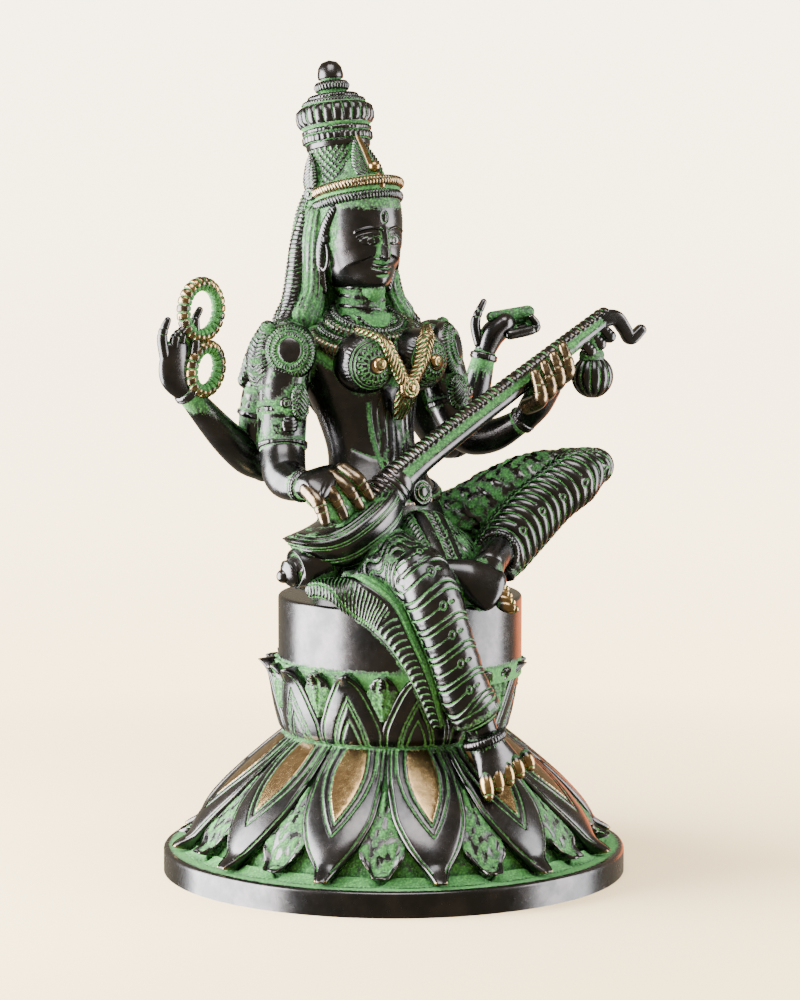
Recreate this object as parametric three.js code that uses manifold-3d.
// A seated four-armed Saraswati playing the veena, cast in brass on a drum seat over a double
// lotus and a round plate. Millimetres, +Z up. The figure faces -Y, its own left is +X, and the
// origin is the centre of the plate's underside.
import * as THREE from "three";
import { mergeVertices } from "three/addons/utils/BufferGeometryUtils.js";
import Module from "manifold-3d";

const wasm = await Module();
wasm.setup();

// Driving sizes of the pedestal.
const plateRadius = 87.4;
const plateHeight = 9.4;
const plateEdge = 1.6;
const skirtRadius = 77;
const waistRadius = 40.5;
const waistHeight = 52;
const rimRadius = 46.5;
const rimHeight = 81;
const drumRadius = 46;
const drumHeight = 24;
const lowerPetals = 12;
const upperPetals = 11;
const skirtTurn = -1.47;
const cupTurn = -1.43;
const tipLift = 6;

// Driving sizes of the figure. Its stations below are written for a figure 200 mm tall from the
// seat to the tip of the crown, and follow figureHeight as shares of it.
const figureHeight = 200;
const seatShift = { x: 1.9, y: -1.35 };
const crownLean = 0.194;
const neckRadiusOfVeena = 4.7;
const garlandRadius = 2.6;
const fingerRadius = 2.1;

const unit = figureHeight / 200;
const seatHeight = rimHeight + drumHeight;

// Solids and joins.

function solid(geometry) {
  const bare = geometry.clone();
  bare.deleteAttribute("normal");
  bare.deleteAttribute("uv");
  const merged = mergeVertices(bare, 1e-4);
  const at = merged.attributes.position.array;
  const corners = [];
  for (let i = 0; i < merged.index.count; i += 3) {
    const [a, b, c] = [0, 1, 2].map((k) => merged.index.array[i + k]);
    if (a !== b && b !== c && c !== a) corners.push(a, b, c);
  }
  const build = (triVerts) =>
    new wasm.Manifold(new wasm.Mesh({ numProp: 3, vertProperties: at, triVerts }));
  const made = build(new Uint32Array(corners));
  if (made.volume() > 0) return made;
  for (let i = 0; i < corners.length; i += 3) {
    [corners[i + 1], corners[i + 2]] = [corners[i + 2], corners[i + 1]];
  }
  return build(new Uint32Array(corners));
}

function join(solids) {
  let queue = solids.flat(Infinity);
  while (queue.length > 1) {
    const next = [];
    for (let i = 0; i < queue.length; i += 2) {
      next.push(i + 1 < queue.length ? queue[i].add(queue[i + 1]) : queue[i]);
    }
    queue = next;
  }
  return queue[0];
}

function reshape(geometry, place) {
  const at = geometry.attributes.position;
  const p = new THREE.Vector3();
  for (let i = 0; i < at.count; i += 1) {
    p.fromBufferAttribute(at, i);
    const q = place(p);
    at.setXYZ(i, q.x, q.y, q.z);
  }
  return geometry;
}

// A rounded bar along stations [x, y, z, wide, deep]. "across" is the direction that wide is
// measured along, and relief(t, turn) scales the section.
function bar(stations, { sides = 9, rings = 0, across = [1, 0, 0], relief = () => 1 } = {}) {
  const path = new THREE.CatmullRomCurve3(stations.map((s) => new THREE.Vector3(s[0], s[1], s[2])));
  const girth = new THREE.SplineCurve(stations.map((s) => new THREE.Vector2(s[3], s[4] ?? s[3])));
  const count = rings || stations.length - 1;
  const rod = new THREE.CylinderGeometry(1, 1, 1, sides, count);
  const wideway = new THREE.Vector3(...across);
  return solid(
    reshape(rod, (p) => {
      const t = p.y + 0.5;
      const centre = path.getPoint(t);
      const along = path.getPoint(Math.min(t + 0.02, 1)).sub(path.getPoint(Math.max(t - 0.02, 0)));
      along.normalize();
      const side = wideway.clone().addScaledVector(along, -along.dot(wideway)).normalize();
      const front = new THREE.Vector3().crossVectors(side, along);
      const size = girth.getPoint(t);
      const swell = relief(t, Math.atan2(p.z, p.x));
      return centre
        .addScaledVector(side, p.x * size.x * swell)
        .addScaledVector(front, p.z * size.y * swell);
    }),
  );
}

function ball([x, y, z], [rx, ry, rz], sides = 8, rings = 6) {
  const sphere = new THREE.SphereGeometry(1, sides, rings).rotateX(Math.PI / 2);
  return solid(sphere.scale(rx, ry, rz).translate(x, y, z));
}

// A turned shape from [radius, height] pairs, which start and end on the axis.
function turned(profile, sides, relief = () => 1) {
  const lathe = new THREE.LatheGeometry(profile.map(([r, h]) => new THREE.Vector2(r, h)), sides);
  lathe.rotateX(Math.PI / 2);
  return solid(
    reshape(lathe, (p) => {
      const swell = relief(p.z, Math.atan2(p.y, p.x));
      return new THREE.Vector3(p.x * swell, p.y * swell, p.z);
    }),
  );
}

// A ring of round section about an axis, flattened to two radii.
function ring(centre, [rx, ry], thick, axis, { sides = 16, section = 5, from = [1, 0, 0] } = {}) {
  const z = new THREE.Vector3(...axis).normalize();
  const x = new THREE.Vector3(...from);
  x.addScaledVector(z, -x.dot(z)).normalize();
  const y = new THREE.Vector3().crossVectors(z, x);
  const torus = new THREE.TorusGeometry(2, 1, section, sides);
  return solid(
    reshape(torus, (p) => {
      const turn = Math.atan2(p.y, p.x);
      const out = Math.hypot(p.x, p.y) - 2;
      return new THREE.Vector3(...centre)
        .addScaledVector(x, Math.cos(turn) * (rx + out * thick))
        .addScaledVector(y, Math.sin(turn) * (ry + out * thick))
        .addScaledVector(z, p.z * thick);
    }),
  );
}

const mirrored = (stations) => stations.map(([x, ...rest]) => [-x, ...rest]);

// Pedestal.

const skirtLine = new THREE.SplineCurve(
  [
    [skirtRadius, plateHeight - 1],
    [skirtRadius - 2, plateHeight + 5.6],
    [skirtRadius - 7.5, plateHeight + 14.6],
    [skirtRadius - 16.5, plateHeight + 25],
    [skirtRadius - 26.5, plateHeight + 34.4],
    [waistRadius, waistHeight],
  ].map(([r, h]) => new THREE.Vector2(r, h)),
);

const cupLine = new THREE.SplineCurve(
  [
    [waistRadius, waistHeight],
    [waistRadius + 3, waistHeight + (rimHeight - waistHeight) * 0.4],
    [rimRadius, rimHeight],
  ].map(([r, h]) => new THREE.Vector2(r, h)),
);

function plate() {
  const profile = [
    [0, 0],
    [plateRadius, 0],
    [plateRadius, plateHeight - plateEdge],
    [plateRadius - plateEdge, plateHeight],
    [0, plateHeight],
  ];
  return turned(profile, 32);
}

function drum() {
  const body = [
    [0, waistHeight],
    [waistRadius - 6, waistHeight],
    [drumRadius - 3, rimHeight - 6],
    [drumRadius, rimHeight - 2],
    [drumRadius, seatHeight - 1.4],
    [drumRadius - 1.4, seatHeight],
    [0, seatHeight],
  ];
  return turned(body, 22);
}

// A lotus: a body of revolution along a line, whose surface is carved into petals. A petal has
// six columns: its middle line, both its edges, the foot of both edges, and the line half way to
// the next petal. The carving gives for a column how far it lies aside, from 0 on the middle line
// to 1 half way, how proud it stands and how far it is let down.
function lotus(line, count, firstTurn, rows, carve) {
  const columns = count * 6;
  const body = new THREE.CylinderGeometry(1, 1, 1, columns, rows);
  return solid(
    reshape(body, (p) => {
      const t = p.y + 0.5;
      const place = line.getPoint(t);
      if (Math.hypot(p.x, p.z) < 0.5) return new THREE.Vector3(0, 0, place.y);
      const column = Math.round((Math.atan2(p.x, p.z) / (2 * Math.PI)) * columns + columns);
      const fromMiddle = ((column + 3) % 6) - 3;
      const petal = (column - fromMiddle) / 6;
      const { aside, proud, drop } = carve(t, Math.abs(fromMiddle));
      const turn = ((petal + (Math.sign(fromMiddle) * aside) / 2) * 2 * Math.PI) / count;
      const slope = line.getTangent(THREE.MathUtils.clamp(t, 0.02, 0.98));
      const radius = place.x + slope.y * proud;
      const height = place.y - slope.x * proud - drop;
      return new THREE.Vector3(
        radius * Math.cos(firstTurn + turn),
        radius * Math.sin(firstTurn + turn),
        height,
      );
    }),
  );
}

function skirt() {
  const carve = (t, column) => {
    const down = 1 - t;
    const half = Math.max(0.03, 1 - down ** 2.4);
    const foot = half + (1 - half) * 0.25;
    const aside = [0, half * 0.97, foot, 1][column];
    const rise = Math.min(1, down * 4);
    const proud = [2.6 + 3.4 * down, 2.4, 0, down > 0.6 ? 2.2 : 0][column] * rise;
    const drop = down === 1 && column === 0 ? -tipLift : 0;
    return { aside, proud, drop };
  };
  return lotus(skirtLine, lowerPetals, skirtTurn, 4, carve);
}

function cup() {
  const tipDrops = [0, 0.4, 5, 2];
  const carve = (t, column) => {
    const half = Math.max(0.04, 1 - Math.max(0, (t - 0.25) / 0.75) ** 1.5);
    const foot = half + (1 - half) * 0.45;
    const aside = [0, half * 0.97, foot, 1][column];
    const proud = [2.6, 1.8, 0, t > 0.6 ? 1.2 : 0][column] * Math.min(1, t * 3);
    return { aside, proud, drop: t === 1 ? tipDrops[column] : 0 };
  };
  return lotus(cupLine, upperPetals, cupTurn, 3, carve);
}

// Body. Heights from here on are above the seat.

function torso() {
  const trunk = bar(
    [
      [0, 8, -2, 30, 22],
      [0, 10, 18, 31, 22],
      [0, 14, 37, 23, 17],
      [0, 18, 52, 18, 14],
      [0, 21.5, 67, 20.5, 15.5],
      [0, 24.5, 81, 26, 17],
      [0, 25, 91, 29, 14.5],
      [0, 25, 99, 19.6, 12],
      [0, 25, 104, 9.8, 9.4],
      [0, 25, 117, 8.6, 8.8],
    ],
    { sides: 10 },
  );
  const breasts = [-1, 1].map((s) => ball([2.4 + s * 12, 9, 87], [11.8, 11.8, 11], 8, 5));
  return [trunk, breasts];
}

function head() {
  const skull = bar(
    [
      [0, 28.5, 150, 14, 16],
      [0, 27.6, 140, 16.6, 18],
      [0, 27, 133, 16.5, 17.8],
      [0, 25.6, 126, 15.3, 16.9],
      [0, 22.6, 120, 12.9, 14.2],
      [0, 18.6, 115.6, 9, 9.6],
      [0, 16.6, 113, 4.6, 5],
    ],
    { sides: 9 },
  );
  const nose = bar(
    [
      [0, 10, 138, 1.2, 1.2],
      [0, 7.6, 130.5, 2.2, 2],
      [0, 10, 128, 2.4, 2],
    ],
    { sides: 4 },
  );
  const lips = ball([0, 10.4, 124.4], [4.2, 2.2, 1.8], 4, 3);
  const eyes = [-1, 1].map((s) => ball([s * 6, 10.8, 136], [3.6, 1.8, 1.6], 4, 3));
  const drops = [-1, 1].map((s) => ball([s * 16.4, 27, 127], [1.8, 3, 8], 5, 3));
  return [skull, nose, lips, eyes, drops];
}

function crown() {
  const tiers = turned(
    [
      [0, -6],
      [16.4, -6],
      [15.8, 1],
      [11.5, 19],
      [12.9, 19.8],
      [12.6, 27],
      [14.6, 31],
      [11.4, 36],
      [5.2, 41],
      [6.4, 44],
      [3.4, 46.4],
      [4.9, 47.8],
      [4.4, 51],
      [0, 54],
    ],
    10,
  );
  const lean = (-Math.atan(crownLean) * 180) / Math.PI;
  const placed = tiers.rotate([lean, 0, 0]).translate([0, 36, 147]);
  const band = ring([0, 28, 148.6], [14.6, 15.8], 2.6, [0, 0.25, 1], { sides: 12, section: 4 });
  const crest = bar(
    [
      [0, 16.6, 152, 5, 2.4],
      [0, 22.4, 160, 7, 3],
      [0, 28.4, 171, 1.6, 1.6],
    ],
    { sides: 5 },
  );
  const bosses = [-1, 1].map((s) => [
    ball([s * 17.4, 33.5, 140.5], [2.4, 4.4, 4.4], 6, 3),
    bar(
      [
        [s * 14.4, 37, 147, 2, 3.4],
        [s * 12.6, 40, 159, 1.6, 2.4],
      ],
      { sides: 4 },
    ),
  ]);
  return [placed, band, crest, bosses];
}

function hair() {
  const fall = bar(
    [
      [0, 40, 150, 15, 8],
      [0, 41.6, 135, 19, 9],
      [0, 42, 122, 21, 8.6],
      [0, 41, 110, 24.5, 8],
      [0, 39.5, 101, 31, 8],
      [0, 38, 88, 30, 7],
      [0, 36.5, 72, 18, 6.5],
      [0, 34, 58, 8, 5],
    ],
    { sides: 8 },
  );
  const lappet = [
    [-30, 31, 97, 7, 5],
    [-38, 34, 90, 7.4, 4.4],
    [-44.6, 37, 80, 3, 2.5],
  ];
  const lowered = mirrored(lappet).map(([x, y, z, ...size]) => [x - 2, y, z - 5, ...size]);
  return [fall, bar(lappet, { sides: 5 }), bar(lowered, { sides: 5 })];
}

// Arms.

function arms() {
  const limbs = [
    {
      bands: [2, 5, 8],
      line: [
        [-33, 24, 93, 9.4, 9.6],
        [-37.5, 22.5, 80, 9.8, 9.4],
        [-39.5, 20.5, 66, 9.4, 8.8],
        [-41, 18, 54.5, 8.6, 8.2],
        [-44.5, 11.5, 46.5, 8.4, 8],
        [-46, 4, 44, 7.4, 7],
        [-46, -4, 43.5, 5.8, 5],
      ],
    },
    {
      bands: [2, 7],
      line: [
        [33, 24, 92, 9, 9.4],
        [37, 22.5, 80, 9, 9],
        [39, 19, 66, 8.2, 8],
        [41, 12, 57, 7.4, 7.4],
        [45.5, 2, 57, 6.4, 6.4],
        [50, -8, 62.4, 4.9, 4.9],
        [52, -12, 66, 5.2, 4.6],
      ],
    },
    {
      rings: 3,
      bands: [2],
      line: [
        [-32, 30, 90, 8.5, 8.5],
        [-38, 35.5, 74, 8, 8],
        [-39.6, 38, 52, 7, 7],
      ],
    },
    {
      rings: 5,
      bands: [5],
      line: [
        [-36, 38.5, 46.5, 5.4, 6],
        [-43.5, 38, 51.6, 7.6, 7.4],
        [-54.5, 38, 60.4, 6.6, 6.4],
        [-70.6, 37.5, 76.6, 4.4, 4.2],
      ],
    },
    {
      bands: [8],
      line: [
        [24, 30, 84, 6, 6],
        [34, 34.5, 68, 7, 7],
        [48.5, 37.5, 53, 7.2, 7],
        [58.5, 38, 54.5, 7, 7],
        [63.2, 37.5, 68, 6.8, 6.4],
        [68.4, 36.8, 87, 4.6, 4.2],
      ],
    },
  ];
  return limbs.map(({ line, bands, rings = 8 }) =>
    bar(line, {
      sides: 7,
      rings,
      relief: (t) => (bands.includes(Math.round(t * rings)) ? 1.18 : 1),
    }),
  );
}

function armJewels() {
  const epaulet = (x, y, z) =>
    ring([x, y, z], [8.4, 8.4], 2.6, [Math.sign(x) * 0.75, -0.6, 0.25], {
      from: [0, 0, 1],
      sides: 9,
      section: 3,
    });
  const stud = (centre, size) => ball(centre, size, 5, 3);
  return [
    epaulet(-35, 22.6, 93),
    epaulet(34, 21.6, 91),
    stud([-37.6, 12.4, 72.5], [5, 2.4, 6]),
    stud([37, 12.6, 73.5], [5, 2.4, 6]),
  ];
}

// Hands. A finger runs through its joints and narrows to its tip.

function finger(joints, thick = fingerRadius) {
  const shares = [1, 1, 0.94, 0.6];
  const first = shares.length - joints.length;
  const stations = joints.map((p, i) => [...p, thick * shares[first + i]]);
  return bar(stations, { sides: 4, across: [0.3, 1, 0.2] });
}

function playingHand() {
  const palm = bar(
    [
      [-46, -3.5, 43.6, 5.6, 4.2],
      [-42, -8, 43, 8, 4],
      [-37.5, -10.6, 40.4, 9.4, 3.4],
    ],
    { across: [0.6, 0.3, 0.7], sides: 5 },
  );
  const fingers = [0, 1, 2, 3].map((i) => {
    const [x, y, z] = [-44.6 + 5 * i, -12.6 + 1.6 * i, 38.4 + 2.5 * i];
    return finger([
      [x, y, z],
      [x + 3.6, y - 2.4, z - 3.4],
      [x + 6.4, y - 4.4, z - 8],
    ]);
  });
  return [palm, fingers];
}

function garlandHand() {
  const palm = bar(
    [
      [-70.6, 37.5, 76.6, 5, 3.6],
      [-75.2, 37.5, 84, 7.4, 3.8],
      [-75.8, 36.5, 94, 5.8, 2.8],
    ],
    { sides: 6 },
  );
  const fingers = [
    [
      [-80.4, 37, 90],
      [-82.2, 36, 98],
      [-80.4, 35, 104],
    ],
    [
      [-77, 36.6, 92],
      [-77.2, 34.6, 97.6],
      [-74, 33.4, 101],
    ],
    [
      [-74, 37, 93],
      [-73.6, 35.4, 99],
      [-70.4, 34, 103.4],
    ],
    [
      [-71.6, 37, 92],
      [-71.4, 36, 98],
      [-66.8, 34.4, 107.4],
    ],
    [
      [-70, 36, 84],
      [-69.4, 33.6, 93],
      [-68.6, 34, 104],
    ],
  ];
  return [palm, fingers.map((joints) => finger(joints))];
}

function leafHand() {
  const palm = bar(
    [
      [68.6, 36.6, 87, 4.8, 4.2],
      [71, 35.5, 93, 6.6, 5],
      [75.4, 33.6, 97, 7, 4.6],
    ],
    { sides: 5, across: [0.5, 0.8, -0.3] },
  );
  const thumb = finger([
    [65.4, 37, 90],
    [63.6, 37, 98],
    [67.2, 36.4, 106],
  ]);
  const fingers = [0, 1, 2, 3].map((i) =>
    finger([
      [72 + 0.8 * i, 37 - 2.8 * i, 95 - 0.6 * i],
      [83.4 + 0.4 * i, 36.4 - 3.6 * i, 97.4 - 0.6 * i],
      [85.4 - 0.8 * i, 35.4 - 3.2 * i, 102.4 - 0.8 * i],
    ]),
  );
  const leaf = bar(
    [
      [70, 35, 100, 2.4, 2.2],
      [84.4, 30, 101.8, 2.8, 2.6],
    ],
    { sides: 5 },
  );
  return [palm, thumb, fingers, leaf];
}

function neckHand() {
  const palm = bar(
    [
      [51.4, -10, 63, 5.2, 4.4],
      [52.6, -15, 69, 7, 5],
      [53.4, -20, 76, 7.4, 4.4],
    ],
    { sides: 6 },
  );
  const fingers = [0, 1, 2, 3].map((i) => {
    const [x, z] = [45 + 4.4 * i, 73.5 + 3.2 * i];
    return finger(
      [
        [x + 1, -19, z - 4],
        [x, -28, z],
        [x - 1, -26, z + 9],
      ],
      fingerRadius * 1.1,
    );
  });
  return [palm, fingers];
}

function garland() {
  const loop = (cx, cz, rx, rz, tilt) =>
    ring([cx, 34, cz], [rx, rz], garlandRadius, [0, 1, 0], {
      sides: 10,
      section: 4,
      from: [Math.cos(tilt), 0, Math.sin(tilt)],
    });
  return [loop(-66.4, 107.4, 7.5, 9.6, -0.1), loop(-64.8, 85.4, 5.9, 8.3, -0.25)];
}

// Veena. It is laid out along its own neck, which rises to the figure's left.

const veena = {
  foot: new THREE.Vector3(-31, -9, 31),
  along: new THREE.Vector3(0.832, -0.122, 0.541).normalize(),
};
veena.front = new THREE.Vector3().crossVectors(veena.along, new THREE.Vector3(0, 0, 1)).normalize();
veena.up = new THREE.Vector3().crossVectors(veena.front, veena.along);

function onVeena(along, front, up) {
  return veena.foot
    .clone()
    .addScaledVector(veena.along, along)
    .addScaledVector(veena.front, front)
    .addScaledVector(veena.up, up)
    .toArray();
}

function veenaBody() {
  const bowl = new THREE.SphereGeometry(1, 10, 6).rotateX(Math.PI / 2);
  reshape(bowl, (p) => {
    const deep = p.z < 0 ? 19.5 : 3;
    const reach = Math.hypot(p.x, p.y);
    const blunt = p.x < 0 ? 0.7 : 1;
    const swell = (share) => reach * Math.sign(share) * Math.abs(share / (reach || 1)) ** blunt;
    const lift = 7 * Math.min(0, p.x) ** 2;
    return new THREE.Vector3(...onVeena(swell(p.x) * 23.4, swell(p.y) * 15.5, p.z * deep + lift));
  });
  const strip = (list, options) =>
    bar(
      list.map(([a, f, u, ...size]) => [...onVeena(a, f, u), ...size]),
      { across: veena.front.toArray(), ...options },
    );
  const r = neckRadiusOfVeena;
  const fretted = (t, turn) => {
    const onTop = Math.sin(turn) < -0.6;
    return onTop && Math.round(t * 12) % 2 ? 1.24 : 1;
  };
  const neck = strip(
    [
      [14, 0, -3, r * 1.8, r * 1.8],
      [30, 0, 0, r * 1.2, r * 1.2],
      [60, 0, 0.6, r, r],
      [131, 0, 0, r * 0.74, r * 0.74],
    ],
    { sides: 6, rings: 12, relief: fretted },
  );
  const tail = strip(
    [
      [-30.6, 0, -1.2, 2.4, 2.4],
      [-28, 0, -1.8, 4.6, 4.6],
      [-25, 0, -2.4, 4, 4],
      [-24, 0, -2.8, 6.6, 6.6],
      [-19, 0, -4.4, 7, 7],
    ],
    { sides: 6 },
  );
  const pegs = [118, 123, 128].map((a) =>
    strip(
      [
        [a, 1, -2, 2, 2],
        [a + 0.6, 2, -6.4, 2.4, 2.4],
      ],
      { sides: 4, across: veena.along.toArray() },
    ),
  );
  return [solid(bowl), neck, tail, pegs];
}

function veenaHead() {
  const hook = bar(
    [
      [76.5, -25.4, 101.8, 2.8, 3.4],
      [82, -27, 102.2, 2.6, 3],
      [85.6, -28, 98, 2.6, 2.6],
      [88, -29, 94.2, 2.6, 2.4],
      [92, -30.4, 97.6, 2.4, 2],
    ],
    { sides: 5, across: [-0.3, -0.95, 0] },
  );
  const gourd = ball([73.4, -24, 80], [7.8, 7.8, 8], 7, 5);
  const stalk = bar(
    [
      [72.4, -24, 97, 3.4],
      [73.4, -24, 86, 4.4],
    ],
    { sides: 6 },
  );
  return [hook, gourd, stalk];
}

// Legs. The trouser legs carry rings of drapery.

const folds = (count, height) => (t) => 1 + height * Math.pow(Math.cos(Math.PI * count * t), 2);

function hangingLeg() {
  const front = -drumRadius / unit;
  const rim = (rimHeight - seatHeight) / unit;
  const thigh = bar(
    [
      [-15, 12, 16, 15, 15],
      [-17.4, -16, 14, 14.4, 13.6],
      [-18, front + 8, 8, 11.6, 11.4],
    ],
    { sides: 6, rings: 2 },
  );
  const shin = bar(
    [
      [-18, front + 8, 13, 10.6, 10],
      [-17.4, front + 2, 4, 11, 10.4],
      [-14, front - 3, -12, 10, 9.4],
      [-9.6, front - 6, rim - 4, 10, 8.8],
      [-6, front - 8, rim - 12, 10.6, 8.4],
    ],
    { sides: 7, rings: 10, relief: folds(5, 0.08) },
  );
  const ankle = bar(
    [
      [-6, front - 8, rim - 10, 6.4, 6],
      [-0.6, front - 8, rim - 24, 5.6, 5.4],
    ],
    { sides: 6 },
  );
  const anklet = ring([-1.4, front - 8.6, rim - 24], [6.6, 6.6], 1.4, [0.3, -0.2, -1], {
    sides: 8,
    section: 3,
  });
  const foot = bar(
    [
      [-0.8, front - 6, rim - 23, 6, 6],
      [1.4, front - 10, rim - 30, 8.6, 5.6],
      [2.6, front - 13.4, rim - 35, 11, 4.4],
    ],
    { sides: 6 },
  );
  const toes = [0, 1, 2, 3, 4].map((i) =>
    ball([-6 + 4.5 * i, front - 15, rim - 38 + 1.5 * i], [2.6, 3.4, 5.6], 4, 3),
  );
  return [thigh, shin, ankle, anklet, foot, toes];
}

function crossedLeg() {
  const thigh = bar(
    [
      [14, 12, 18, 15, 15],
      [30, 3, 24, 13.6, 13.4],
      [50, -13, 38, 12.4, 12.4],
      [66.6, -28, 45.4, 8.4, 8.4],
    ],
    { sides: 6, rings: 2 },
  );
  const shin = bar(
    [
      [69.6, -31, 46.4, 7, 7],
      [62, -29, 43, 10.4, 11],
      [52, -25.4, 35.4, 11, 11],
      [41, -23, 25.4, 12, 11],
      [32, -21.4, 15.6, 11.6, 10],
    ],
    { sides: 7, rings: 8, relief: folds(4, 0.08) },
  );
  const ankle = bar(
    [
      [33, -21, 15, 8, 7],
      [24, -29, 16.4, 6.4, 6.2],
      [15, -36.4, 14.2, 6, 5.8],
      [5.6, -43, 8.8, 6, 5.4],
    ],
    { sides: 6 },
  );
  const foot = bar(
    [
      [-4.4, -37, 11.6, 5.6, 5],
      [1.4, -42.4, 9.4, 7.8, 5.6],
      [7.4, -47.4, 5.4, 8.6, 4.4],
    ],
    { sides: 6, across: [0.16, -0.54, -0.83] },
  );
  const toes = [0, 1, 2, 3, 4].map((i) =>
    ball([8.4 + 0.4 * i, -46.4 - 1.3 * i, 9 - 2.3 * i], [4, 3.2, 2.4], 4, 3),
  );
  return [thigh, shin, ankle, foot, toes];
}

// Cloth: the lap, the hanging apron between the legs, and the sash end over the drum.

function cloth() {
  const front = -drumRadius / unit;
  const lap = ball([3, -6, 12], [24, 24, 17], 8, 4);
  const apron = bar(
    [
      [2, -14, 26, 10, 6],
      [-2, -26, 17, 9, 6.4],
      [-5.6, -36, 8, 8, 5.6],
      [-6.6, front + 5, -1, 6, 3.4],
    ],
    { sides: 6 },
  );
  const sash = bar(
    [
      [-46, -12, 7, 6, 4],
      [-40, -24, 6, 8, 4],
      [-33, -33, 0, 8, 4.4],
      [-28, front + 5, -12, 5.4, 4.4],
      [-22.6, front + 0.4, -26, 4, 3.6],
      [-17.6, front - 1, -41, 2.6, 2.6],
    ],
    { sides: 5, rings: 6, across: [0.7, -0.7, 0] },
  );
  const belt = ring([0, 13.4, 38], [23.6, 18], 2.4, [0, -0.24, 1], { sides: 9, section: 3 });
  const knot = ball([6, -4, 38], [5, 3.6, 5], 5, 3);
  return [lap, apron, sash, belt, knot];
}

function necklaces() {
  const chain = ring([0, 20.4, 95], [20.5, 15.5], 2.4, [0, -0.55, 1], { sides: 9, section: 3 });
  const pendant = ball([0, -1, 77.5], [4, 2.6, 4], 5, 3);
  const fan = bar(
    [
      [0, 0, 76, 4.4, 2.4],
      [0, 3, 70, 3.2, 2.2],
      [0, 6, 65.4, 1, 1],
    ],
    { sides: 4 },
  );
  const feathers = [-1, 1].map((s) =>
    bar(
      [
        [s * 17, 12, 99, 2.4, 1.8],
        [s * 12, 1.4, 93, 3, 2],
        [s * 5.4, -1, 85, 3, 2],
        [s * 0.6, -1, 78.5, 2.2, 1.8],
      ],
      { sides: 4 },
    ),
  );
  return [chain, pendant, fan, feathers];
}

// The whole casting.

const pedestal = join([plate(), skirt(), cup()]);
const seat = drum().translate([seatShift.x, seatShift.y, 0]);
const figure = join([
  torso(),
  head(),
  crown(),
  hair(),
  arms(),
  armJewels(),
  playingHand(),
  garlandHand(),
  leafHand(),
  neckHand(),
  garland(),
  veenaBody(),
  veenaHead(),
  hangingLeg(),
  crossedLeg(),
  cloth(),
  necklaces(),
])
  .scale([unit, unit, unit])
  .translate([seatShift.x, seatShift.y, seatHeight]);

// Shells closed off inside where pieces meet are left out, so that the metal is one solid.
const casting = join(
  join([pedestal, seat, figure])
    .decompose()
    .filter((body) => body.volume() > 0),
);

function meshOf(made, name, material) {
  const { vertProperties, triVerts } = made.getMesh();
  const geometry = new THREE.BufferGeometry();
  geometry.setAttribute("position", new THREE.BufferAttribute(vertProperties, 3));
  geometry.setIndex(new THREE.BufferAttribute(triVerts, 1));
  geometry.computeVertexNormals();
  const mesh = new THREE.Mesh(geometry, material);
  mesh.name = name;
  return mesh;
}

const patinatedBrass = new THREE.MeshStandardMaterial({
  color: 0x2f3327,
  roughness: 0.38,
  metalness: 0.9,
});

const statue = new THREE.Group();
statue.add(meshOf(casting, "saraswati_casting", patinatedBrass));

export default statue;
